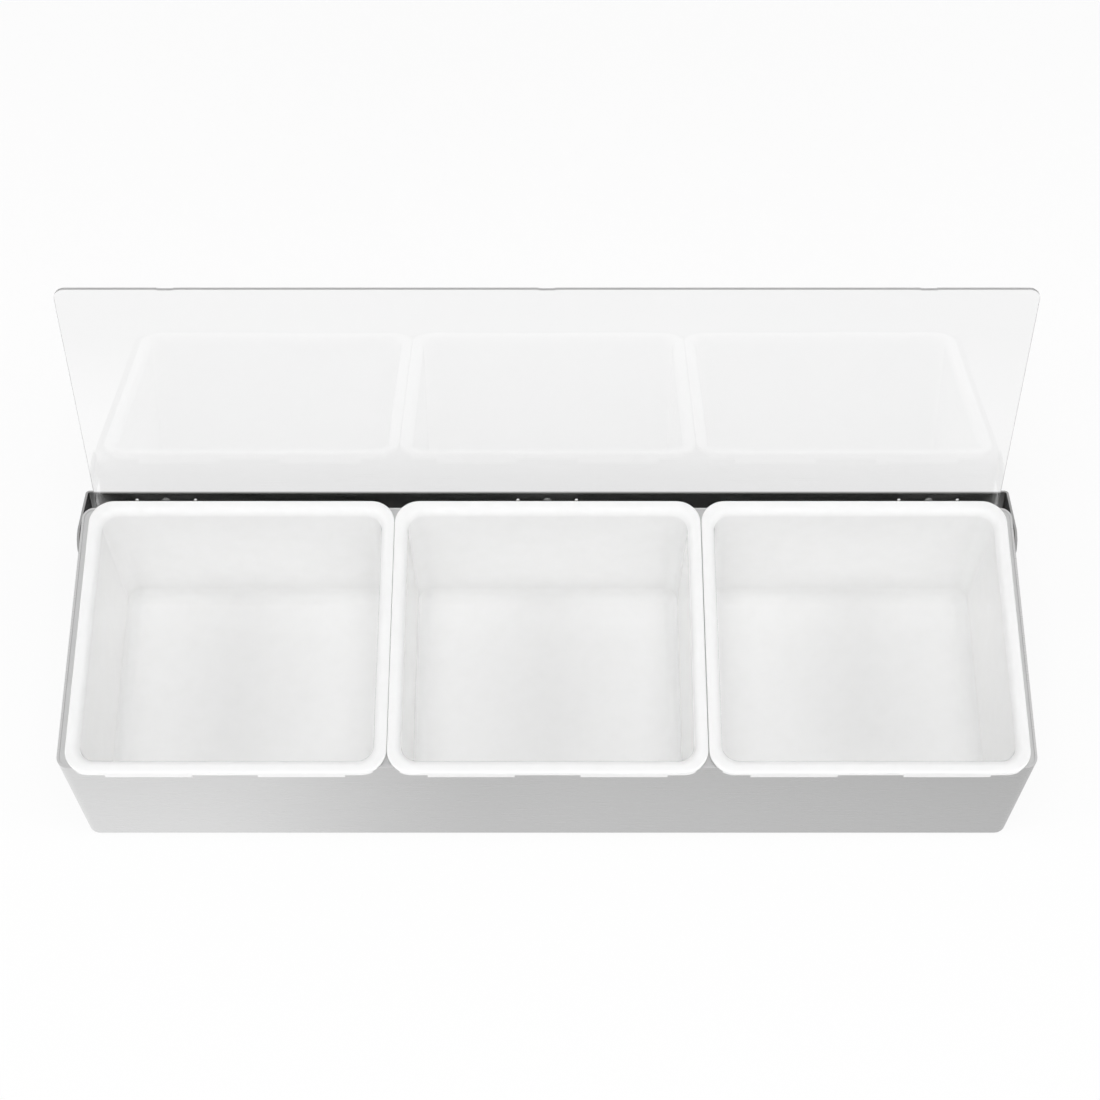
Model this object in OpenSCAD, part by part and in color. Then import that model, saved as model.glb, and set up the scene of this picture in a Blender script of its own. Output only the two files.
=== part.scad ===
// Condiment caddy: a steel tray, three drop-in inserts and one full-width flip lid.
// X runs along the tray, Y towards the hinge side and Z up, in millimetres. The origin
// is the middle of the tray's flat underside. The lid is drawn open, leaning on its stop.

/* [Tray] */
// Length of the tray, outside
tray_l = 482; // [420:1:560]
// Depth of the tray from front to back, outside
tray_d = 145; // [125:1:180]
// Height of the tray wall
tray_h = 93; // [76:1:120]
// Thickness of the tray's sheet steel
tray_wall = 1.2; // [0.8:0.1:1.6]
// Outer radius of the upright corners
tray_corner_r = 6; // [4:0.5:9]
// Outer radius of the bend round the floor
tray_bend_r = 3; // [2.4:0.2:3.6]

/* [Inserts] */
// Wall thickness of the moulded inserts
insert_wall = 1.8; // [1.2:0.1:2.4]
// Gap between the tray's floor and the underside of an insert
insert_lift = 7; // [2:0.5:15]
// Gap between an insert's body and the tray's front or rear wall
insert_clear = 1; // [0.5:0.1:2]
// Slope of an insert's front and rear walls, in degrees
front_draft = 3.4; // [1:0.1:5]
// Slope of an insert's side walls, in degrees
side_draft = 1.3; // [0.5:0.1:3]
// Radius round an insert's floor, inside
floor_fillet = 7; // [3:0.5:7.5]
// Corner radius of an insert's mouth
mouth_corner_r = 8; // [6:0.5:9]

/* [Insert rims] */
// Thickness of the rim
rim_t = 2; // [1.6:0.1:3]
// Width of the rim along the sides of the mouth
rim_side_w = 6.7; // [5:0.1:9]
// Outer corner radius of the rim
rim_corner_r = 12.5; // [10:0.5:15]
// Radius rolled on the rim's outer and inner edges
rim_roll_r = 1.4; // [0.8:0.1:1.5]
// Thickness of the skirt that hangs outside the tray's wall
skirt_t = 1.6; // [1:0.1:2]
// Gap between the skirt and the tray's wall
skirt_gap = 1.7; // [0.8:0.1:2.5]
// Depth of the skirt below the rim's top
skirt_drop = 3.5; // [3.2:0.1:5]
// Depth of the two tabs on each skirt below the rim's top
tab_drop = 6; // [5.2:0.1:9]
// Width of a tab
tab_w = 43; // [20:1:45]
// Gap between the two tabs
tab_gap = 32; // [20:1:34]

/* [Play of the inserts along the tray] */
// Gap at the left end of the tray
play_left = 2.7; // [0.4:0.1:3]
// Gap between the left and the middle insert
play_left_middle = 0.1; // [0.1:0.1:2]
// Gap between the middle and the right insert
play_middle_right = 0.3; // [0.1:0.1:2]
// Gap at the right end of the tray
play_right = 1.9; // [0.4:0.1:3]

/* [Hinge] */
// Distance from the outside of the rear wall forward to the pivot
pivot_back = 11; // [10:0.5:14]
// Distance from the top of the wall down to the pivot
pivot_drop = 14.5; // [12:0.5:17]
// Diameter of the pivot rivet's shank
rivet_d = 5; // [4:0.5:6]
// Diameter of the pivot rivet's heads
rivet_head_d = 9; // [8:0.5:11]
// Height of the pivot rivet's domed heads
rivet_head_h = 1.5; // [1:0.1:2]
// Diameter of the spacer washer
washer_d = 11; // [9:0.5:13]
// Thickness of the spacer washer
washer_t = 1.5; // [1:0.1:2.5]
// Radial clearance of the lid's arms on the rivets
running_fit = 0.08; // [0.04:0.01:0.1]
// Side clearance of each arm between its washer and its rivet head
side_play = 0.3; // [0.3:0.05:0.6]

/* [Lid] */
// Lean of the open lid past upright, in degrees
lean_back = 16; // [10:1:22]
// Fall of the shut lid towards its front edge, in degrees
shut_fall = 4; // [4:0.5:6]
// Gap between the shut lid and the front rims
seat_gap = 0.3; // [0.3:0.1:1]
// Distance from the pivot to the panel's front edge, measured along the panel
panel_reach = 147.5; // [146:0.5:154]
// Thickness of the clear panel
panel_t = 1.6; // [1.4:0.1:2.4]
// Corner radius at the panel's front edge
panel_corner_r = 6; // [3:0.5:12]
// Gap between the panel's side edge and the arm
panel_side_gap = 3.3; // [0.5:0.1:4]
// Gap between the panel's rear edge and the bend of the stop flange
panel_rear_gap = 0.4; // [0.3:0.1:1]
// Distance from the panel's side edge to the nearer gate mark on its front edge
gate_from_side = 54.5; // [30:0.5:80]
// Width of a gate mark
gate_w = 8; // [4:1:12]
// Depth of a gate mark
gate_depth = 0.4; // [0.2:0.1:0.8]

/* [Lid bracket] */
// Thickness of the bracket's sheet steel
bracket_t = 1.2; // [0.8:0.1:1.6]
// Inner radius of the bracket's bends
bend_r = 1; // [0.5:0.1:1.5]
// Distance from the pivot to the strip's front edge, measured along the lid
strip_lead = 7; // [6:0.5:8]
// Width of the strip over the panel's rear edge, out to the stop flange
strip_w = 24; // [24:0.5:28]
// Radius of the arm's round end
arm_r = 9; // [8:0.5:9.5]
// Gap between the stop flange and the rear wall when the lid is open
stop_gap = 0.3; // [0.3:0.1:1]
// Length of the relief between the flange and each arm
relief_l = 5; // [4:0.5:10]

/* [Lid fixings] */
// Distance from the panel's side edge to the nearer rivet
fixing_from_side = 37.5; // [30:0.5:80]
// Distance from the strip's front edge to the row of fixings
fixing_inset = 5; // [4:0.5:8]
// Shank diameter of a panel rivet
panel_rivet_d = 3; // [2:0.2:3.4]
// Head diameter of a panel rivet
panel_rivet_head_d = 4.6; // [4.4:0.2:7]
// Head height of a panel rivet
panel_rivet_head_h = 0.9; // [0.5:0.1:1.5]
// Diameter of the panel's moulded locating pegs
peg_d = 1.8; // [1.4:0.1:3]
// Distance of each peg from its rivet, along the lid
peg_offset = 15.5; // [10:0.5:25]
// Height that a peg stands above the strip
peg_proud = 0.3; // [0.1:0.1:1]
// Radial clearance of rivets and pegs in their holes
hole_fit = 0.1; // [0.05:0.05:0.2]

/* [Hidden] */
$fn = 64;
// Facets round the floor corners of an insert
pan_fn = 48;
// How far a cutter runs past the face that it cuts
over = 1;

inner_l = tray_l - 2 * tray_wall;
insert_count = 3;
insert_play = play_left + play_left_middle + play_middle_right + play_right;
insert_w = (inner_l - insert_play) / insert_count;
rim_top = tray_h + rim_t;
rim_half_x = insert_w / 2;
rim_half_y = tray_d / 2 + skirt_gap + skirt_t;
mouth_half_x = rim_half_x - rim_side_w;
mouth_half_y = tray_d / 2 - tray_wall - insert_clear - insert_wall;
floor_z = tray_wall + insert_lift + insert_wall;
floor_half_x = mouth_half_x - (rim_top - floor_z) * tan(side_draft);
floor_half_y = mouth_half_y - (rim_top - floor_z) * tan(front_draft);
// The skirt is cut away where it would run into the tray's wall
skirt_from_y = tray_d / 2 + skirt_gap / 3;

left_x = -inner_l / 2 + play_left + insert_w / 2;
middle_x = left_x + insert_w + play_left_middle;
right_x = middle_x + insert_w + play_middle_right;

pivot_y = tray_d / 2 - pivot_back;
pivot_z = tray_h - pivot_drop;
arm_in = tray_l / 2 + washer_t + side_play;
arm_out = arm_in + bracket_t;

// The lid is laid out flat as if it were shut level: x along the tray, y from the pivot
// to the back and z up from the pivot. Its rise over the pivot lets the shut lid touch
// the front rims and lets its rear edge swing clear of the rear ones.
panel_z = (pivot_y + rim_half_y) * sin(shut_fall)
    + (rim_top + seat_gap - pivot_z) * cos(shut_fall);
strip_z = panel_z + panel_t;
strip_top = strip_z + bracket_t;
strip_front = -strip_lead;
flange_out = strip_front + strip_w;
flange_in = flange_out - bracket_t;
// The flange ends where its tip meets the rear wall at the wanted lean
flange_tip = (pivot_back + stop_gap + flange_out * sin(lean_back)) / cos(lean_back);
panel_half_x = arm_in - panel_side_gap;
panel_rear = flange_in - bend_r - panel_rear_gap;
fixing_y = strip_front + fixing_inset;
arm_flare_y = flange_in - bend_r;
fixing_x = [-1, 0, 1] * (panel_half_x - fixing_from_side);
gate_x = [-1, 0, 1] * (panel_half_x - gate_from_side);

steel = "silver";
white = "white";
clear = [0.85, 0.9, 0.93, 0.4];
nylon = "gainsboro";

// Rectangle with round corners, centred
module round_rect(l, d, r) {
    square([l - 2 * r, d], center = true);
    square([l, d - 2 * r], center = true);
    for (sx = [-1, 1], sy = [-1, 1])
        translate([sx * (l / 2 - r), sy * (d / 2 - r)]) circle(r);
}

// Cross-section of a box w wide and h high with both lower edges rounded
module tub_section(w, h, edge_r) {
    translate([-w / 2, edge_r]) square([w, h - edge_r]);
    translate([-w / 2 + edge_r, 0]) square([w - 2 * edge_r, h]);
    for (s = [-1, 1]) translate([s * (w / 2 - edge_r), edge_r]) circle(edge_r);
}

// Box with round upright corners and a rounded lower edge, standing on z = 0
module soft_box(l, d, h, corner_r, edge_r) {
    rotate([90, 0, 90]) linear_extrude(l - 2 * corner_r, center = true)
        tub_section(d, h, edge_r);
    rotate([90, 0, 0]) linear_extrude(d - 2 * corner_r, center = true)
        tub_section(l, h, edge_r);
    for (sx = [-1, 1], sy = [-1, 1])
        translate([sx * (l / 2 - corner_r), sy * (d / 2 - corner_r), 0])
            rotate_extrude() intersection() {
                tub_section(2 * corner_r, h, edge_r);
                square([corner_r, h]);
            }
}

// Low domed rivet head, standing on z = 0
module dome(d, h) {
    dome_r = (d * d / 4 + h * h) / (2 * h);
    rotate_extrude() intersection() {
        translate([0, h - dome_r]) circle(dome_r, $fn = 128);
        square([d / 2, h]);
    }
}

// One-piece folded steel tray with a pivot hole in each end wall
module base_tray() color(steel) difference() {
    soft_box(tray_l, tray_d, tray_h, tray_corner_r, tray_bend_r);
    translate([0, 0, tray_wall])
        soft_box(inner_l, tray_d - 2 * tray_wall, tray_h,
            tray_corner_r - tray_wall, tray_bend_r - tray_wall);
    for (side = [-1, 1])
        translate([side * tray_l / 2, pivot_y, pivot_z]) rotate([0, 90, 0])
            cylinder(d = rivet_d, h = 4 * tray_wall, center = true);
}

// Drafted pan: a round-cornered mouth at the rim's top drawn down to a filleted floor.
// Grown by the wall thickness it is the outside, and not grown it is the hollow.
module pan(grow, top) {
    ball_r = floor_fillet + grow;
    hull() {
        translate([0, 0, rim_top - rim_t / 2]) linear_extrude(top)
            round_rect(2 * (mouth_half_x + grow), 2 * (mouth_half_y + grow),
                mouth_corner_r + grow, $fn = pan_fn);
        for (sx = [-1, 1], sy = [-1, 1])
            translate([sx * (floor_half_x - floor_fillet), sy * (floor_half_y - floor_fillet),
                    floor_z + floor_fillet])
                sphere(ball_r, $fn = pan_fn);
    }
}

// Cutter that rolls the edge between the rim and the mouth
module lip_section() difference() {
    translate([-over, -rim_roll_r]) square([over + rim_roll_r, over + rim_roll_r]);
    translate([rim_roll_r, -rim_roll_r]) circle(rim_roll_r);
}

module lip_cutter() translate([0, 0, rim_top]) {
    straight_x = mouth_half_x - mouth_corner_r;
    straight_y = mouth_half_y - mouth_corner_r;
    for (turn = [0, 180]) rotate([0, 0, turn]) {
        translate([0, mouth_half_y, 0]) rotate([90, 0, 90])
            linear_extrude(2 * straight_x, center = true) lip_section();
        translate([mouth_half_x, 0, 0]) rotate([90, 0, 0])
            linear_extrude(2 * straight_y, center = true) lip_section();
        for (s = [-1, 1]) translate([straight_x, s * straight_y, 0])
            rotate([0, 0, s > 0 ? 0 : -90]) rotate_extrude(angle = 90)
                translate([mouth_corner_r, 0]) lip_section();
    }
}

// Rolled rim with a skirt that hangs outside the front and rear walls of the tray. The
// skirt is cut back to two tabs a side, and stops where the corner turns in.
module rim() difference() {
    translate([0, 0, rim_top]) rotate([180, 0, 0])
        soft_box(2 * rim_half_x, 2 * rim_half_y, tab_drop, rim_corner_r, rim_roll_r);
    translate([0, 0, tray_h]) rotate([180, 0, 0])
        linear_extrude(tab_drop) round_rect(2 * (rim_half_x - skirt_t),
            2 * (rim_half_y - skirt_t), rim_corner_r - skirt_t);
    translate([0, 0, tray_h - tab_drop / 2])
        cube([insert_w + 2 * over, 2 * skirt_from_y, tab_drop], center = true);
    for (sy = [-1, 1]) translate([0, sy * rim_half_y, rim_top - skirt_drop - tab_drop / 2]) {
        cube([tab_gap, 3 * skirt_t, tab_drop], center = true);
        for (sx = [-1, 1]) translate([sx * (tab_gap / 2 + tab_w + insert_w / 2), 0, 0])
            cube([insert_w, 2 * rim_corner_r, tab_drop], center = true);
    }
}

// White moulded insert: pan, rolled rim, skirt and tabs
module insert(x) color(white) translate([x, 0, 0]) difference() {
    union() {
        rim();
        pan(insert_wall, rim_t / 4);
    }
    pan(0, rim_t);
    lip_cutter();
}

module insert_left() insert(left_x);
module insert_middle() insert(middle_x);
module insert_right() insert(right_x);

// Everything at a pivot is drawn along +Z from the middle of the tray outwards
module at_pivot(side) translate([0, pivot_y, pivot_z]) rotate([0, side * 90, 0]) children();

// Pivot rivet: formed head inside the end wall, shank and domed head outside the arm
module pivot_rivet(side) color(steel) at_pivot(side) {
    head_z = arm_out + side_play;
    translate([0, 0, inner_l / 2]) cylinder(d = rivet_d, h = head_z - inner_l / 2);
    translate([0, 0, head_z]) dome(rivet_head_d, rivet_head_h);
    translate([0, 0, inner_l / 2]) rotate([180, 0, 0]) dome(rivet_head_d, rivet_head_h);
}

module pivot_rivet_left() pivot_rivet(-1);
module pivot_rivet_right() pivot_rivet(1);

// Spacer washer between the end wall and the lid's arm
module pivot_washer(side) color(nylon) at_pivot(side) translate([0, 0, tray_l / 2])
    difference() {
        cylinder(d = washer_d, h = washer_t);
        translate([0, 0, -over]) cylinder(d = rivet_d, h = washer_t + 2 * over);
    }

module pivot_washer_left() pivot_washer(-1);
module pivot_washer_right() pivot_washer(1);

// Turns the flat lid about the pivots to its open rest
module on_hinge() translate([0, pivot_y, pivot_z]) rotate([-90 - lean_back, 0, 0]) children();

// Clear moulded panel with its locating pegs and the gate marks on its front edge
module lid_panel() color(clear) on_hinge() {
    panel_mid = (panel_rear - panel_reach) / 2;
    difference() {
        translate([0, 0, panel_z]) linear_extrude(panel_t) union() {
            translate([0, panel_mid])
                round_rect(2 * panel_half_x, panel_rear + panel_reach, panel_corner_r);
            translate([-panel_half_x, panel_mid]) square([2 * panel_half_x, panel_rear - panel_mid]);
        }
        for (x = fixing_x) translate([x, fixing_y, panel_z - over])
            cylinder(d = panel_rivet_d + 2 * hole_fit, h = panel_t + 2 * over);
        for (x = gate_x) translate([x, -panel_reach, panel_z + panel_t / 2])
            cube([gate_w, 2 * gate_depth, panel_t + 2 * over], center = true);
    }
    for (x = fixing_x, s = [-1, 1]) translate([x + s * peg_offset, fixing_y, strip_z - panel_t / 2])
        cylinder(d = peg_d, h = panel_t / 2 + bracket_t + peg_proud);
}

// Side view of one arm: a round end on the pivot, tapered to the strip in front and
// flared behind
module arm_outline() {
    circle(arm_r);
    polygon([
        [-arm_r, 0], [strip_front, strip_top], [arm_flare_y, strip_top],
        [arm_flare_y, strip_z - bend_r], [arm_r, arm_r], [arm_r, 0]
    ]);
}

// Folded steel bracket: strip, two arms and the rear stop flange
module lid_bracket() color(steel) on_hinge() difference() {
    union() {
        intersection() {
            // The strip and its two turned-down arms, as one bent section
            rotate([90, 0, 0]) linear_extrude(4 * strip_w, center = true) difference() {
                translate([0, strip_top - strip_w]) round_rect(2 * arm_out, 2 * strip_w,
                    bracket_t + bend_r);
                translate([0, strip_z - strip_w]) round_rect(2 * arm_in, 2 * strip_w, bend_r);
            }
            rotate([90, 0, 90]) linear_extrude(2 * arm_out + 2 * over, center = true)
                arm_outline();
        }
        // The strip again between the arms, with the flange bent down from its rear edge
        rotate([90, 0, 90]) linear_extrude(2 * (arm_in - relief_l), center = true) {
            flange_bend = bracket_t + bend_r;
            translate([strip_front, strip_z])
                square([strip_w - flange_bend, bracket_t]);
            translate([flange_in, flange_tip])
                square([bracket_t, strip_top - flange_bend - flange_tip]);
            translate([flange_out - flange_bend, strip_top - flange_bend])
                intersection() {
                    difference() {
                        circle(flange_bend);
                        circle(bend_r);
                    }
                    square(flange_bend);
                }
        }
    }
    for (side = [-1, 1]) translate([side * arm_in, 0, 0]) rotate([0, 90, 0])
        cylinder(d = rivet_d + 2 * running_fit, h = 4 * bracket_t, center = true);
    for (x = fixing_x) translate([x, fixing_y, strip_z - over]) {
        cylinder(d = panel_rivet_d + 2 * hole_fit, h = bracket_t + 2 * over);
        for (s = [-1, 1]) translate([s * peg_offset, 0, 0])
            cylinder(d = peg_d + 2 * hole_fit, h = bracket_t + 2 * over);
    }
}

// Three small rivets that clamp the panel to the strip, with a head on both faces
module panel_rivets() color(steel) on_hinge() for (x = fixing_x) translate([x, fixing_y, 0]) {
    translate([0, 0, panel_z]) cylinder(d = panel_rivet_d, h = strip_top - panel_z);
    translate([0, 0, strip_top]) dome(panel_rivet_head_d, panel_rivet_head_h);
    translate([0, 0, panel_z]) rotate([180, 0, 0]) dome(panel_rivet_head_d, panel_rivet_head_h);
}

base_tray();
insert_left();
insert_middle();
insert_right();
pivot_rivet_left();
pivot_rivet_right();
pivot_washer_left();
pivot_washer_right();
lid_panel();
lid_bracket();
panel_rivets();
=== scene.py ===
import math

import bmesh
import bpy
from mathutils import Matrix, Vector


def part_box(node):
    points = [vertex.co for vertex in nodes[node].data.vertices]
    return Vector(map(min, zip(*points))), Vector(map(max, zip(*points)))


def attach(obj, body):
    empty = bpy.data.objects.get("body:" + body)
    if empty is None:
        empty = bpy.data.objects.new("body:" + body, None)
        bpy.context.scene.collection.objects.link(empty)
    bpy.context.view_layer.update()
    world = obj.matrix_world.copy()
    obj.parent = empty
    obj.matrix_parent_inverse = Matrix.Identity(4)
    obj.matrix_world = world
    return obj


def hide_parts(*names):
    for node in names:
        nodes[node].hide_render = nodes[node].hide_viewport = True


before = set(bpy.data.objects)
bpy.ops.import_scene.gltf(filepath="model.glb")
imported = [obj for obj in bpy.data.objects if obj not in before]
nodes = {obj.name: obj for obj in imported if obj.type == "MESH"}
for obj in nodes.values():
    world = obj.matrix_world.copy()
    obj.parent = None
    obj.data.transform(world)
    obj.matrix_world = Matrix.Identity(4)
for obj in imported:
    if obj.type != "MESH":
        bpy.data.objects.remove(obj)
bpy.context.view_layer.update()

# ---------------------------------------------------------------- tray
# The tray is one piece of 1.2 mm stainless sheet, folded and welded at its round corners.
# Its faces are brushed along their length with a fine belt, which leaves long hairlines
# and draws every highlight out across them.

TRAY_STEEL = "#C9C9C9"
TRAY_ROUGHNESS = 0.3
TRAY_ANISOTROPY = 0.75
# A belt's lines are about 0.1 mm apart, and are drawn coarser so that they show
HAIRLINE_LENGTH_MM = 40
HAIRLINE_WIDTH_MM = 0.6
HAIRLINE_TONE = (0.95, 1.04)
HAIRLINE_ROUGHER = (-0.05, 0.06)
GROOVE_DEPTH = 0.00004
# The skin that the rolling mill leaves, where no belt reaches
MILL_ROUGHNESS = 0.5
# A face whose normal is more sideways than this is on an end of the piece
END_FACE_FROM = 0.7
# A face is inside if it looks at the upright axis from further off than this, in metres
INSIDE_FROM = 0.02
# Nearly all of a noise texture lies between these two
NOISE_SPREAD = (0.3, 0.7)


def linear(hex_colour):
    """sRGB hex to the linear RGBA that a shader socket takes."""
    channels = [int(hex_colour[i:i + 2], 16) / 255 for i in (1, 3, 5)]
    return [c / 12.92 if c <= 0.04045 else ((c + 0.055) / 1.055) ** 2.4 for c in channels] + [1]


def new_material(name):
    """A material with nothing but an output and a Principled shader, joined."""
    material = bpy.data.materials.new(name)
    material.use_nodes = True
    return material, material.node_tree.nodes["Principled BSDF"]


def add_node(material, kind, settings=None, inputs=None):
    """Adds a node, sets its settings, and sets or links its inputs."""
    tree = material.node_tree
    node = tree.nodes.new(kind)
    for name, value in (settings or {}).items():
        setattr(node, name, value)
    for name, value in (inputs or {}).items():
        if isinstance(value, bpy.types.NodeSocket):
            tree.links.new(value, node.inputs[name])
        else:
            node.inputs[name].default_value = value
    return node


def dress(node_name, material):
    """Gives a CAD node one material all over."""
    mesh = nodes[node_name].data
    mesh.materials.clear()
    mesh.materials.append(material)


def per_metre(size_mm):
    """Texture scale that repeats once in size_mm."""
    return 1000 / size_mm


def brushed_steel(name, colour, line_length_mm, line_width_mm, roughness, anisotropy,
                  inside_roughness):
    """Stainless steel with belt hairlines that run level along every upright face."""
    material, shader = new_material(name)
    tree = material.node_tree
    where = add_node(material, "ShaderNodeTexCoord")
    along = per_metre(line_length_mm)
    across = per_metre(line_width_mm)
    lines_x = add_node(material, "ShaderNodeMapping", inputs={
        "Vector": where.outputs["Object"], "Scale": (along, across, across)})
    lines_y = add_node(material, "ShaderNodeMapping", inputs={
        "Vector": where.outputs["Object"], "Scale": (across, along, across)})
    facing = add_node(material, "ShaderNodeSeparateXYZ", inputs={"Vector": where.outputs["Normal"]})
    sideways = add_node(material, "ShaderNodeMath", {"operation": "ABSOLUTE"}, {0: facing.outputs["X"]})
    on_end = add_node(material, "ShaderNodeMath", {"operation": "GREATER_THAN"},
                      {0: sideways.outputs[0], 1: END_FACE_FROM})
    place = add_node(material, "ShaderNodeMix", {"data_type": "VECTOR"}, {
        "Factor": on_end.outputs[0], 4: lines_x.outputs[0], 5: lines_y.outputs[0]})
    hairlines = add_node(material, "ShaderNodeTexNoise", inputs={
        "Vector": place.outputs[1], "Scale": 1, "Detail": 4, "Roughness": 0.65})
    tone = add_node(material, "ShaderNodeMapRange", inputs={
        "Value": hairlines.outputs["Fac"], "From Min": NOISE_SPREAD[0], "From Max": NOISE_SPREAD[1],
        "To Min": HAIRLINE_TONE[0], "To Max": HAIRLINE_TONE[1]})
    tinted = add_node(material, "ShaderNodeVectorMath", {"operation": "SCALE"}, {
        0: linear(colour)[:3], "Scale": tone.outputs[0]})
    tree.links.new(tinted.outputs[0], shader.inputs["Base Color"])
    gloss = add_node(material, "ShaderNodeMapRange", inputs={
        "Value": hairlines.outputs["Fac"], "From Min": NOISE_SPREAD[0], "From Max": NOISE_SPREAD[1],
        "To Min": roughness + HAIRLINE_ROUGHER[0], "To Max": roughness + HAIRLINE_ROUGHER[1]})
    # The belt only reaches the outside
    outwards = add_node(material, "ShaderNodeVectorMath", {"operation": "MULTIPLY"}, {
        0: where.outputs["Normal"], 1: (1, 1, 0)})
    outwards = add_node(material, "ShaderNodeVectorMath", {"operation": "DOT_PRODUCT"}, {
        0: outwards.outputs[0], 1: where.outputs["Object"]})
    inside = add_node(material, "ShaderNodeMath", {"operation": "LESS_THAN"}, {
        0: outwards.outputs["Value"], 1: -INSIDE_FROM})
    finish = add_node(material, "ShaderNodeMix", {"data_type": "FLOAT"}, {
        "Factor": inside.outputs[0], 2: gloss.outputs[0], 3: inside_roughness})
    tree.links.new(finish.outputs[0], shader.inputs["Roughness"])
    grooves = add_node(material, "ShaderNodeBump", inputs={
        "Height": hairlines.outputs["Fac"], "Strength": 0.25, "Distance": GROOVE_DEPTH})
    tree.links.new(grooves.outputs[0], shader.inputs["Normal"])
    shader.inputs["Metallic"].default_value = 1
    shader.inputs["Anisotropic"].default_value = anisotropy
    # A quarter turn from the ring round Z: the highlights run up and down, across the lines
    shader.inputs["Anisotropic Rotation"].default_value = 0.25
    ring = add_node(material, "ShaderNodeTangent", {"direction_type": "RADIAL", "axis": "Z"})
    tree.links.new(ring.outputs[0], shader.inputs["Tangent"])
    return material


dress("base_tray", brushed_steel("belt brushed stainless tray", TRAY_STEEL, HAIRLINE_LENGTH_MM,
                                 HAIRLINE_WIDTH_MM, TRAY_ROUGHNESS, TRAY_ANISOTROPY,
                                 MILL_ROUGHNESS))

# ---------------------------------------------------------------- inserts
# Three white polypropylene pans, injection moulded in one polished tool: a drafted pan with
# a wide floor fillet, a rim rolled inside and out, and a skirt with two tabs front and rear.
# The gloss is high, with faint flow marks and shrinkage waves, and light soaks into the wall.

RIM_TOP = 0.095
RIM_UNDERSIDE = 0.093
RIM_CORNER_RADIUS = 0.0125
RIM_ROLL = 0.0009
RIM_TURN_DEG = 60
# In these two pairs, the first is along the tray and the second from front to back
RIM_WIDTH = (0.0067, 0.0073)
DRAFT_DEG = (1.3, 3.4)
MOUTH_ROLL = 0.004
MOUTH_STEP = 0.004
MOUTH_MARGIN = 0.002
PAN_STEP = 0.0024
FLOOR_TOP = 0.010
FLOOR_FILLET = 0.007
INSERT_WALL = 0.0018
SKIRT_THICK = 0.0016
# The skirt's faces have their middles within this of the rim's outside
SKIRT_RING = 0.0027
SKIRT_BOTTOM = 0.0915
TAB_BOTTOM = 0.089
# From the middle of the insert to the near and the far end of a tab
TAB_ENDS = (0.016, 0.059)
MOULD_EDGE = 0.0003
CORNER_STEPS = 12
FILLET_STEPS = 8
# Points closer than this are at one height, and a smaller face is a sliver
SAME_HEIGHT = 1e-5
SLIVER_AREA = 1e-5
# Edges sharper than the first get a small bevel, and those flatter than the second are smooth
BEVEL_ABOVE_DEG = 50
SMOOTH_BELOW_DEG = 35
INSERT_WHITE = "#FFFFFF"
INSERT_SHADE = "#FAFAF9"
INSERT_IOR = 1.49
INSERT_ROUGHNESS = (0.03, 0.06)
# How far light soaks into the wall
INSERT_SOAK = 0.0015
SHRINKAGE_WAVE_MM = 40
SHRINKAGE_DEPTH = 0.0004
FLOW_MARK_MM = 9


def pick(piece, part, test):
    """In edit mode, selects only the faces or edges that pass the test."""
    bpy.ops.mesh.select_mode(type="FACE" if part == "faces" else "EDGE")
    bpy.ops.mesh.select_all(action="DESELECT")
    mesh = bmesh.from_edit_mesh(piece.data)
    mesh.normal_update()
    for item in getattr(mesh, part):
        item.select_set(test(item))
    bmesh.update_edit_mesh(piece.data)


def new_cube(name, low, high):
    """A cube between two corners, in edit mode with nothing selected."""
    if bpy.context.object and bpy.context.object.mode == "EDIT":
        bpy.ops.object.mode_set(mode="OBJECT")
    bpy.ops.object.select_all(action="DESELECT")
    middle = [(a + b) / 2 for a, b in zip(low, high)]
    bpy.ops.mesh.primitive_cube_add(size=1, location=middle)
    piece = bpy.context.object
    piece.name = name
    piece.scale = [b - a for a, b in zip(low, high)]
    bpy.ops.object.transform_apply(location=True, rotation=True, scale=True)
    bpy.ops.object.mode_set(mode="EDIT")
    bpy.ops.mesh.select_all(action="DESELECT")
    return piece


def upright(edge):
    """Test for edges that stand upright."""
    return abs(edge.verts[0].co.z - edge.verts[1].co.z) > 1e-4


def faces_at(height, up):
    """Test for level faces at a height that face up (1) or down (-1)."""
    return lambda face: (face.normal.z * up > 0.99
                         and abs(face.calc_center_median().z - height) < SAME_HEIGHT)


def draw_in(centre, start, end, step):
    """Insets the selected face by a step, then scales it to its end size."""
    bpy.ops.mesh.inset(thickness=step, depth=0)
    bpy.ops.transform.resize(value=(end[0] / (start[0] - step), end[1] / (start[1] - step), 1),
                             center_override=centre)


def sink(centre, depth, start, end):
    """Pushes the selected face down a drafted wall."""
    bpy.ops.mesh.extrude_region_move(TRANSFORM_OT_translate={"value": (0, 0, -depth)})
    bpy.ops.transform.resize(value=(end[0] / start[0], end[1] / start[1], 1),
                             center_override=centre)


def round_outline(radius, steps):
    """Bevels the outline of the selected faces."""
    bpy.ops.mesh.region_to_loop()
    bpy.ops.mesh.bevel(offset=radius, segments=steps, profile=0.5, affect="EDGES",
                       clamp_overlap=False)


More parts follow.
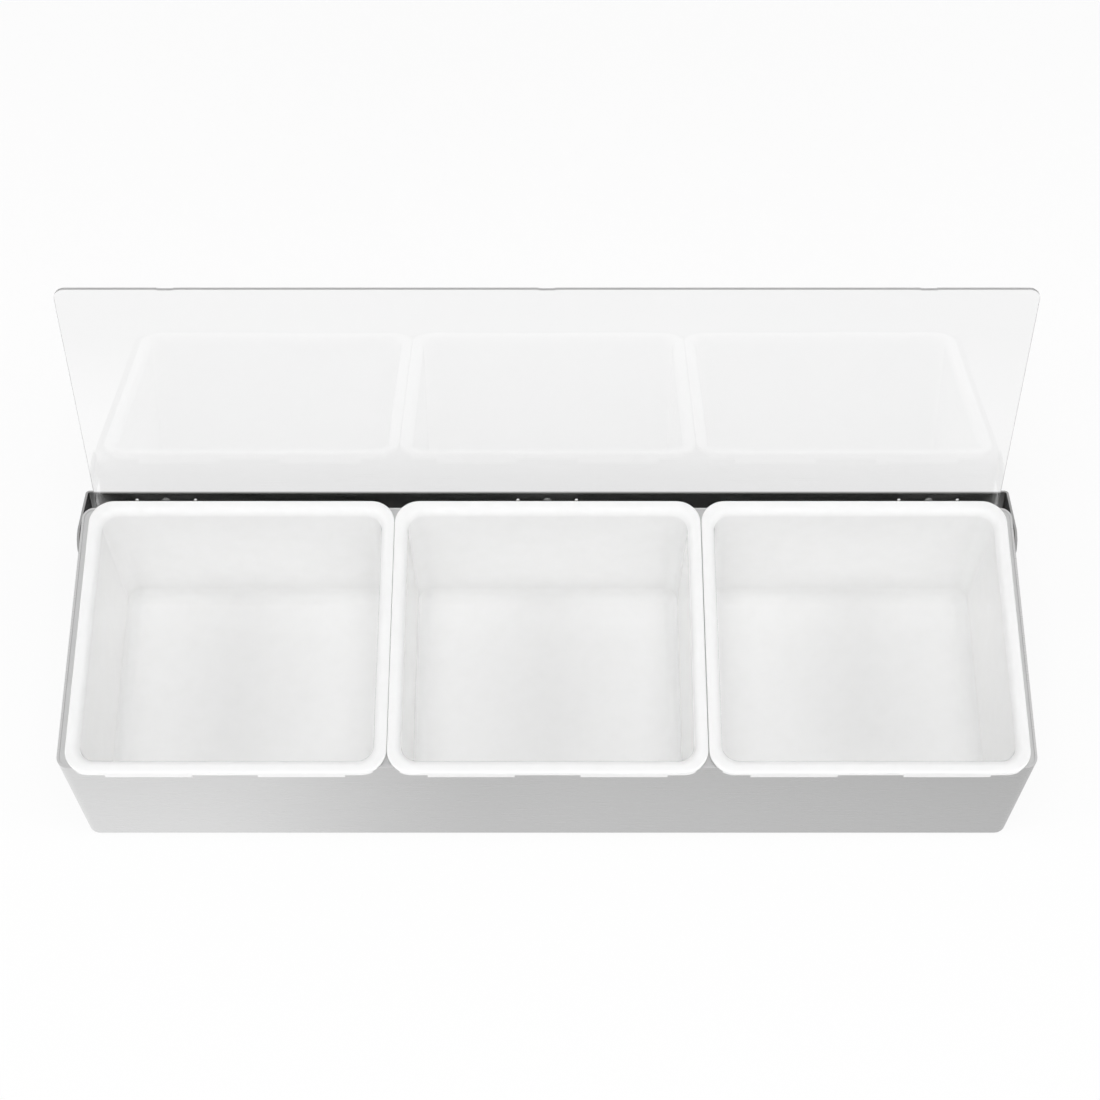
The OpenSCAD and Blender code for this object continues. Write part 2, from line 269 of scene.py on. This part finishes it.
def mould_insert(name):
    """One insert over its CAD node, as a single closed shell."""
    low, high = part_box(name)
    centre_x = (low[0] + high[0]) / 2
    rim_half = ((high[0] - low[0]) / 2, (high[1] - low[1]) / 2)
    mouth_half = [half - width for half, width in zip(rim_half, RIM_WIDTH)]
    floor_half = [half - (RIM_TOP - FLOOR_TOP) * math.tan(math.radians(draft))
                  for half, draft in zip(mouth_half, DRAFT_DEG)]
    insert = new_cube(name + "_moulded", (low[0], low[1], RIM_UNDERSIDE), (high[0], high[1], RIM_TOP))
    pick(insert, "edges", upright)
    bpy.ops.mesh.bevel(offset=RIM_CORNER_RADIUS, segments=CORNER_STEPS, profile=0.5,
                       affect="EDGES", clamp_overlap=False)

    # The hollow: mouth, drafted walls and floor fillet
    top_centre = (centre_x, 0, RIM_TOP)
    pick(insert, "faces", faces_at(RIM_TOP, 1))
    draw_in(top_centre, rim_half, mouth_half, MOUTH_STEP)
    sink(top_centre, RIM_TOP - FLOOR_TOP, mouth_half, floor_half)
    round_outline(FLOOR_FILLET, FILLET_STEPS)

    # The outside of the pan, and the ring under the rim that carries the skirt
    under_centre = (centre_x, 0, RIM_UNDERSIDE)
    pick(insert, "faces", faces_at(RIM_UNDERSIDE, -1))
    bpy.ops.mesh.inset(thickness=SKIRT_THICK, depth=0)
    inside_skirt = [half - SKIRT_THICK for half in rim_half]
    outer_mouth = [half + INSERT_WALL for half in mouth_half]
    outer_floor = [half + INSERT_WALL for half in floor_half]
    draw_in(under_centre, inside_skirt, outer_mouth, PAN_STEP)
    sink(under_centre, RIM_UNDERSIDE - FLOOR_TOP + INSERT_WALL, outer_mouth, outer_floor)
    round_outline(FLOOR_FILLET, FILLET_STEPS)

    # The skirt hangs from the ring, and its tabs hang from the skirt
    for side in (-1, 1):
        for across in (-TAB_ENDS[1], -TAB_ENDS[0], TAB_ENDS[0], TAB_ENDS[1]):
            pick(insert, "faces", lambda f: faces_at(RIM_UNDERSIDE, -1)(f)
                 and side * f.calc_center_median().y > rim_half[1] - SKIRT_THICK
                 and f.calc_area() > SLIVER_AREA)
            bpy.ops.mesh.bisect(plane_co=(centre_x + across, 0, 0), plane_no=(1, 0, 0))
    pick(insert, "faces", lambda f: faces_at(RIM_UNDERSIDE, -1)(f)
         and abs(f.calc_center_median().y) > rim_half[1] - SKIRT_RING)
    bpy.ops.mesh.extrude_region_move(
        TRANSFORM_OT_translate={"value": (0, 0, SKIRT_BOTTOM - RIM_UNDERSIDE)})
    pick(insert, "faces", lambda f: faces_at(SKIRT_BOTTOM, -1)(f)
         and TAB_ENDS[0] < abs(f.calc_center_median().x - centre_x) < TAB_ENDS[1])
    bpy.ops.mesh.extrude_region_move(
        TRANSFORM_OT_translate={"value": (0, 0, TAB_BOTTOM - SKIRT_BOTTOM)})

    # The rolled edges of the rim, a tight one outside and a softer one round the mouth
    def on_rim_edge(edge):
        ends = [vert.co for vert in edge.verts]
        return len(edge.link_faces) == 2 and all(abs(end.z - RIM_TOP) < SAME_HEIGHT for end in ends)

    def outside_mouth(edge):
        return any(abs(v.co.x - centre_x) > mouth_half[0] + MOUTH_MARGIN
                   or abs(v.co.y) > mouth_half[1] + MOUTH_MARGIN for v in edge.verts)

    def turns_down(edge):
        return edge.calc_face_angle(0) > math.radians(RIM_TURN_DEG)

    pick(insert, "edges", lambda e: on_rim_edge(e) and turns_down(e) and outside_mouth(e))
    bpy.ops.mesh.bevel(offset=RIM_ROLL, segments=4, profile=0.5, affect="EDGES", clamp_overlap=False)
    pick(insert, "edges", lambda e: on_rim_edge(e) and turns_down(e) and not outside_mouth(e))
    bpy.ops.mesh.bevel(offset=MOUTH_ROLL, segments=6, profile=0.5, affect="EDGES", clamp_overlap=False)
    bpy.ops.object.mode_set(mode="OBJECT")

    # A mould leaves no knife edge, so every sharp edge that is left gets a small bevel
    edges = insert.modifiers.new("mould edges", "BEVEL")
    edges.width = MOULD_EDGE
    edges.segments = 2
    edges.limit_method = "ANGLE"
    edges.angle_limit = math.radians(BEVEL_ABOVE_DEG)
    bpy.ops.object.modifier_apply(modifier=edges.name)
    bpy.ops.object.shade_smooth_by_angle(angle=math.radians(SMOOTH_BELOW_DEG))
    flat = insert.modifiers.new("flat walls", "WEIGHTED_NORMAL")
    flat.keep_sharp = True
    bpy.ops.object.modifier_apply(modifier=flat.name)
    return insert


insert_plastic, shader = new_material("gloss moulded white polypropylene")
tree = insert_plastic.node_tree
where = add_node(insert_plastic, "ShaderNodeTexCoord")
waves = add_node(insert_plastic, "ShaderNodeTexNoise", inputs={
    "Vector": where.outputs["Object"], "Scale": per_metre(SHRINKAGE_WAVE_MM), "Detail": 1})
swell = add_node(insert_plastic, "ShaderNodeBump", inputs={
    "Height": waves.outputs["Fac"], "Strength": 0.2, "Distance": SHRINKAGE_DEPTH})
tree.links.new(swell.outputs[0], shader.inputs["Normal"])
flow = add_node(insert_plastic, "ShaderNodeTexNoise", inputs={
    "Vector": where.outputs["Object"], "Scale": per_metre(FLOW_MARK_MM), "Detail": 3})
tone = add_node(insert_plastic, "ShaderNodeMix", {"data_type": "RGBA"}, {
    "Factor": flow.outputs["Fac"], 6: linear(INSERT_WHITE), 7: linear(INSERT_SHADE)})
tree.links.new(tone.outputs[2], shader.inputs["Base Color"])
skin = add_node(insert_plastic, "ShaderNodeMapRange", inputs={
    "Value": flow.outputs["Fac"], "From Min": NOISE_SPREAD[0], "From Max": NOISE_SPREAD[1],
    "To Min": INSERT_ROUGHNESS[0], "To Max": INSERT_ROUGHNESS[1]})
tree.links.new(skin.outputs[0], shader.inputs["Roughness"])
shader.inputs["IOR"].default_value = INSERT_IOR
shader.inputs["Subsurface Weight"].default_value = 1
shader.inputs["Subsurface Radius"].default_value = (1, 1, 1)
shader.inputs["Subsurface Scale"].default_value = INSERT_SOAK
for name in ("insert_left", "insert_middle", "insert_right"):
    insert = mould_insert(name)
    insert.data.materials.append(insert_plastic)
    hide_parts(name)
    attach(insert, "base")

# ---------------------------------------------------------------- ledge
# A frame blanked from stainless sheet is spot-welded inside the top of the tray. The rims
# rest on it, and its three round-cornered openings let the pans through. It keeps the dull,
# even skin of the mill, with no lines and no drawn-out highlight.

LEDGE_TOP = 0.0929
LEDGE_THICK = 0.001
LEDGE_CORNER = 0.0047
TRAY_WALL = 0.0012
PAN_CLEARANCE = 0.0003
PAN_CORNER = 0.0098
LEDGE_BURR = 0.0002
LEDGE_ROUGHNESS = 0.42
LEDGE_MOTTLE_MM = 6

low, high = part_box("base_tray")
ledge = new_cube("tray_ledge", (low[0] + TRAY_WALL, low[1] + TRAY_WALL, LEDGE_TOP - LEDGE_THICK),
                 (high[0] - TRAY_WALL, high[1] - TRAY_WALL, LEDGE_TOP))
pick(ledge, "edges", upright)
bpy.ops.mesh.bevel(offset=LEDGE_CORNER, segments=6, profile=0.5, affect="EDGES")
bpy.ops.object.mode_set(mode="OBJECT")
for name in ("insert_left", "insert_middle", "insert_right"):
    low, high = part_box(name)
    reach = [width - INSERT_WALL - PAN_CLEARANCE for width in RIM_WIDTH]
    punch = new_cube("punch", (low[0] + reach[0], low[1] + reach[1], LEDGE_TOP - 2 * LEDGE_THICK),
                     (high[0] - reach[0], high[1] - reach[1], LEDGE_TOP + LEDGE_THICK))
    pick(punch, "edges", upright)
    bpy.ops.mesh.bevel(offset=PAN_CORNER + PAN_CLEARANCE, segments=CORNER_STEPS, profile=0.5,
                       affect="EDGES")
    bpy.ops.object.mode_set(mode="OBJECT")
    bpy.ops.object.select_all(action="DESELECT")
    bpy.context.view_layer.objects.active = ledge
    ledge.select_set(True)
    cut = ledge.modifiers.new("opening", "BOOLEAN")
    cut.object = punch
    bpy.ops.object.modifier_apply(modifier=cut.name)
    bpy.data.objects.remove(punch)
burr = ledge.modifiers.new("broken edges", "BEVEL")
burr.width = LEDGE_BURR
burr.segments = 2
burr.limit_method = "ANGLE"
burr.angle_limit = math.radians(BEVEL_ABOVE_DEG)
bpy.ops.object.modifier_apply(modifier=burr.name)
bpy.ops.object.shade_smooth_by_angle(angle=math.radians(SMOOTH_BELOW_DEG))
ledge.data.materials.append(brushed_steel("mill finished stainless sheet", TRAY_STEEL,
                                          LEDGE_MOTTLE_MM, LEDGE_MOTTLE_MM, LEDGE_ROUGHNESS, 0,
                                          LEDGE_ROUGHNESS))
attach(ledge, "base")

# ---------------------------------------------------------------- pivots
# The lid turns on a domed stainless rivet through each end wall, with a natural nylon washer
# between the wall and the arm. These rivets and the panel's fixings are tumbled, which leaves
# them a soft, even grey. The nylon is off-white, cloudy and dull.

RIVET_STEEL = "#C4C4C4"
RIVET_ROUGHNESS = 0.32
RIVET_MARK_LENGTH_MM = 3
RIVET_MARK_WIDTH_MM = 1.5
NYLON_LIGHT = "#E4E1D6"
NYLON_DARK = "#D2CEC0"
NYLON_ROUGHNESS = 0.45
NYLON_CLOUD_MM = 2

rivet_steel = brushed_steel("tumbled stainless rivets", RIVET_STEEL, RIVET_MARK_LENGTH_MM,
                            RIVET_MARK_WIDTH_MM, RIVET_ROUGHNESS, 0, RIVET_ROUGHNESS)
for name in ("pivot_rivet_left", "pivot_rivet_right", "panel_rivets"):
    dress(name, rivet_steel)

washer_nylon, shader = new_material("natural nylon washer")
where = add_node(washer_nylon, "ShaderNodeTexCoord")
cloud = add_node(washer_nylon, "ShaderNodeTexNoise", inputs={
    "Vector": where.outputs["Object"], "Scale": per_metre(NYLON_CLOUD_MM), "Detail": 2})
milky = add_node(washer_nylon, "ShaderNodeMix", {"data_type": "RGBA"}, {
    "Factor": cloud.outputs["Fac"], 6: linear(NYLON_LIGHT), 7: linear(NYLON_DARK)})
washer_nylon.node_tree.links.new(milky.outputs[2], shader.inputs["Base Color"])
shader.inputs["Roughness"].default_value = NYLON_ROUGHNESS
for name in ("pivot_washer_left", "pivot_washer_right"):
    dress(name, washer_nylon)

# ---------------------------------------------------------------- lid
# The bracket is folded from stainless sheet and brushed like the tray, and its colour is painted
# darker than the tray's as painted shade, for the dark that it reflects. The panel on it is clear
# polycarbonate, moulded in a polished tool: its faces are glassy with a faint ripple, and its
# edges are matt from the parting line.

# Painted shade: the same stainless as the tray, given a darker colour for the dark that it reflects
BRACKET_STEEL_PAINTED_DARKER = "#A2A2A2"
BRACKET_ROUGHNESS = 0.33
BRACKET_ANISOTROPY = 0.6
PANEL_TINT = "#FBFBFB"
PANEL_IOR = 1.585
PANEL_LEAN_DEG = 16
PANEL_RIPPLE_MM = 60
PANEL_RIPPLE_DEPTH = 0.0003
PANEL_EDGE_ROUGHNESS = 0.5
PANEL_EDGE_CLARITY = 0.6
PANEL_EDGE_TO_FACE = (0.9, 0.98)

dress("lid_bracket", brushed_steel("brushed stainless bracket", BRACKET_STEEL_PAINTED_DARKER, HAIRLINE_LENGTH_MM,
                                   HAIRLINE_WIDTH_MM, BRACKET_ROUGHNESS, BRACKET_ANISOTROPY,
                                   BRACKET_ROUGHNESS))

panel_clear, shader = new_material("clear moulded polycarbonate")
tree = panel_clear.node_tree
shader.inputs["Base Color"].default_value = linear(PANEL_TINT)
shader.inputs["IOR"].default_value = PANEL_IOR
where = add_node(panel_clear, "ShaderNodeTexCoord")
# How squarely a point's face looks out of the panel: 1 on the two large faces, 0 on the edges
lean = math.radians(PANEL_LEAN_DEG)
across_face = add_node(panel_clear, "ShaderNodeVectorMath", {"operation": "DOT_PRODUCT"}, {
    0: where.outputs["Normal"], 1: (0, -math.cos(lean), math.sin(lean))})
on_face = add_node(panel_clear, "ShaderNodeMath", {"operation": "ABSOLUTE"}, {
    0: across_face.outputs["Value"]})
matt = add_node(panel_clear, "ShaderNodeMapRange", inputs={
    "Value": on_face.outputs[0],
    "From Min": PANEL_EDGE_TO_FACE[0], "From Max": PANEL_EDGE_TO_FACE[1],
    "To Min": PANEL_EDGE_ROUGHNESS, "To Max": 0})
tree.links.new(matt.outputs[0], shader.inputs["Roughness"])
clear = add_node(panel_clear, "ShaderNodeMapRange", inputs={
    "Value": on_face.outputs[0],
    "From Min": PANEL_EDGE_TO_FACE[0], "From Max": PANEL_EDGE_TO_FACE[1],
    "To Min": PANEL_EDGE_CLARITY, "To Max": 1})
tree.links.new(clear.outputs[0], shader.inputs["Transmission Weight"])
flow = add_node(panel_clear, "ShaderNodeTexNoise", inputs={
    "Vector": where.outputs["Object"], "Scale": per_metre(PANEL_RIPPLE_MM), "Detail": 1})
ripple = add_node(panel_clear, "ShaderNodeBump", inputs={
    "Height": flow.outputs["Fac"], "Strength": 0.2, "Distance": PANEL_RIPPLE_DEPTH})
tree.links.new(ripple.outputs[0], shader.inputs["Normal"])
dress("lid_panel", panel_clear)

# ---------------------------------------------------------------- studio
# A white sweep under a large overhead box, with a long low box in front and a square one
# at each end to reach down into the cavities. The camera stands in front and looks steeply down.

SWEEP_SIZE = 12
SWEEP_WHITE = "#FAFAFA"
# The part of the sweep that shows as plain white, while the rest takes the light and the shadow
SHADOWLESS_SHARE = 0.85
# Painted light: the sweep's painted brightness in reflections, at the tray's left end, middle and right
# end
SWEEP_PAINTED_FALL = (1.3, 0.93, 0.8)
SWEEP_LEFT = (-0.197, -0.022)
SWEEP_RIGHT = (0.02, 0.24)
# Painted shade: towards the camera the painted brightness falls off to this part of it
SWEEP_FRONT_PAINTED_FALL = 0.3
SWEEP_FRONT = (-0.27, -0.15)
ROOM_LIGHT = 0.43
CAMERA_PLACE = (0.0015, -0.4919, 1.1352)
CAMERA_DOWN_DEG = 62.62
CAMERA_LENS_MM = 74.67

bpy.ops.object.select_all(action="DESELECT")
bpy.ops.mesh.primitive_plane_add(size=SWEEP_SIZE, location=(0, 0, 0))
floor = bpy.context.object
floor.name = "studio_floor"
floor_paint, shader = new_material("white studio floor")
tree = floor_paint.node_tree
shader.inputs["Base Color"].default_value = linear(SWEEP_WHITE)
shader.inputs["Roughness"].default_value = 0.9
shader.inputs["Specular IOR Level"].default_value = 0
ray = add_node(floor_paint, "ShaderNodeLightPath")
seen = add_node(floor_paint, "ShaderNodeMath", {"operation": "MAXIMUM"}, {
    0: ray.outputs["Is Camera Ray"], 1: ray.outputs["Is Transmission Ray"]})
seen = add_node(floor_paint, "ShaderNodeMath", {"operation": "MAXIMUM"}, {
    0: seen.outputs[0], 1: ray.outputs["Is Glossy Ray"]})
share = add_node(floor_paint, "ShaderNodeMath", {"operation": "MULTIPLY"}, {
    0: seen.outputs[0], 1: SHADOWLESS_SHARE})
where = add_node(floor_paint, "ShaderNodeTexCoord")
place = add_node(floor_paint, "ShaderNodeSeparateXYZ", inputs={"Vector": where.outputs["Object"]})
# Painted light and shade: the glow that reflections see is painted, falling off to the right and
# towards the camera
left_fall = add_node(floor_paint, "ShaderNodeMapRange", {"interpolation_type": "SMOOTHSTEP"}, {
    "Value": place.outputs["X"], "From Min": SWEEP_LEFT[0], "From Max": SWEEP_LEFT[1],
    "To Min": SWEEP_PAINTED_FALL[0], "To Max": SWEEP_PAINTED_FALL[1]})
right_fall = add_node(floor_paint, "ShaderNodeMapRange", inputs={
    "Value": place.outputs["X"], "From Min": SWEEP_RIGHT[0], "From Max": SWEEP_RIGHT[1],
    "To Min": 1, "To Max": SWEEP_PAINTED_FALL[2] / SWEEP_PAINTED_FALL[1]})
front_fall = add_node(floor_paint, "ShaderNodeMapRange", inputs={
    "Value": place.outputs["Y"], "From Min": SWEEP_FRONT[0], "From Max": SWEEP_FRONT[1],
    "To Min": SWEEP_FRONT_PAINTED_FALL, "To Max": 1})
fall = add_node(floor_paint, "ShaderNodeMath", {"operation": "MULTIPLY"}, {
    0: left_fall.outputs[0], 1: right_fall.outputs[0]})
fall = add_node(floor_paint, "ShaderNodeMath", {"operation": "MULTIPLY"}, {
    0: fall.outputs[0], 1: front_fall.outputs[0]})
# A ray through the clear lid counts as glossy too, and it sees the sweep at its full white
mirrored = add_node(floor_paint, "ShaderNodeMath", {"operation": "SUBTRACT", "use_clamp": True}, {
    0: ray.outputs["Is Glossy Ray"], 1: ray.outputs["Is Transmission Ray"]})
strength = add_node(floor_paint, "ShaderNodeMix", {"data_type": "FLOAT"}, {
    "Factor": mirrored.outputs[0], 2: 1.0, 3: fall.outputs[0]})
lift = add_node(floor_paint, "ShaderNodeEmission", inputs={
    "Color": (1, 1, 1, 1), "Strength": strength.outputs[0]})
whole = add_node(floor_paint, "ShaderNodeMixShader", inputs={
    "Fac": share.outputs[0], 1: shader.outputs[0], 2: lift.outputs[0]})
tree.links.new(whole.outputs[0], tree.nodes["Material Output"].inputs["Surface"])
floor.data.materials.append(floor_paint)


def softbox(name, place, size, watts):
    """A rectangular area lamp at place that faces the origin and that gloss doesn't show."""
    lamp = bpy.data.lights.new(name, "AREA")
    lamp.shape = "RECTANGLE"
    lamp.size, lamp.size_y = size
    lamp.energy = watts
    holder = bpy.data.objects.new(name, lamp)
    bpy.context.scene.collection.objects.link(holder)
    holder.location = place
    holder.rotation_euler = (-holder.location).to_track_quat("-Z", "Y").to_euler()
    holder.visible_glossy = False


softbox("top_box", (0, -0.4, 2.1), (1.2, 0.8), 13)
softbox("front_box", (0, -1.8, 1.15), (1.8, 0.5), 10.5)
softbox("left_box", (-1.6, -0.3, 1.3), (0.7, 0.7), 6.5)
softbox("right_box", (1.6, -0.3, 1.3), (0.7, 0.7), 6.5)

world = bpy.data.worlds.new("white room")
bpy.context.scene.world = world
world.use_nodes = True
ray = add_node(world, "ShaderNodeLightPath")
seen = add_node(world, "ShaderNodeMath", {"operation": "MAXIMUM"}, {
    0: ray.outputs["Is Camera Ray"], 1: ray.outputs["Is Transmission Ray"]})
seen = add_node(world, "ShaderNodeMath", {"operation": "MAXIMUM"}, {
    0: seen.outputs[0], 1: ray.outputs["Is Glossy Ray"]})
level = add_node(world, "ShaderNodeMapRange", inputs={
    "Value": seen.outputs[0], "To Min": ROOM_LIGHT, "To Max": 1})
back = world.node_tree.nodes["Background"]
back.inputs["Color"].default_value = (1, 1, 1, 1)
world.node_tree.links.new(level.outputs[0], back.inputs["Strength"])

lens = bpy.data.cameras.new("camera")
lens.lens = CAMERA_LENS_MM
lens.sensor_width = 36
camera = bpy.data.objects.new("camera", lens)
bpy.context.scene.collection.objects.link(camera)
camera.location = CAMERA_PLACE
camera.rotation_euler = (math.radians(90 - CAMERA_DOWN_DEG), 0, 0)
bpy.context.scene.camera = camera
bpy.context.scene.view_settings.view_transform = "Standard"
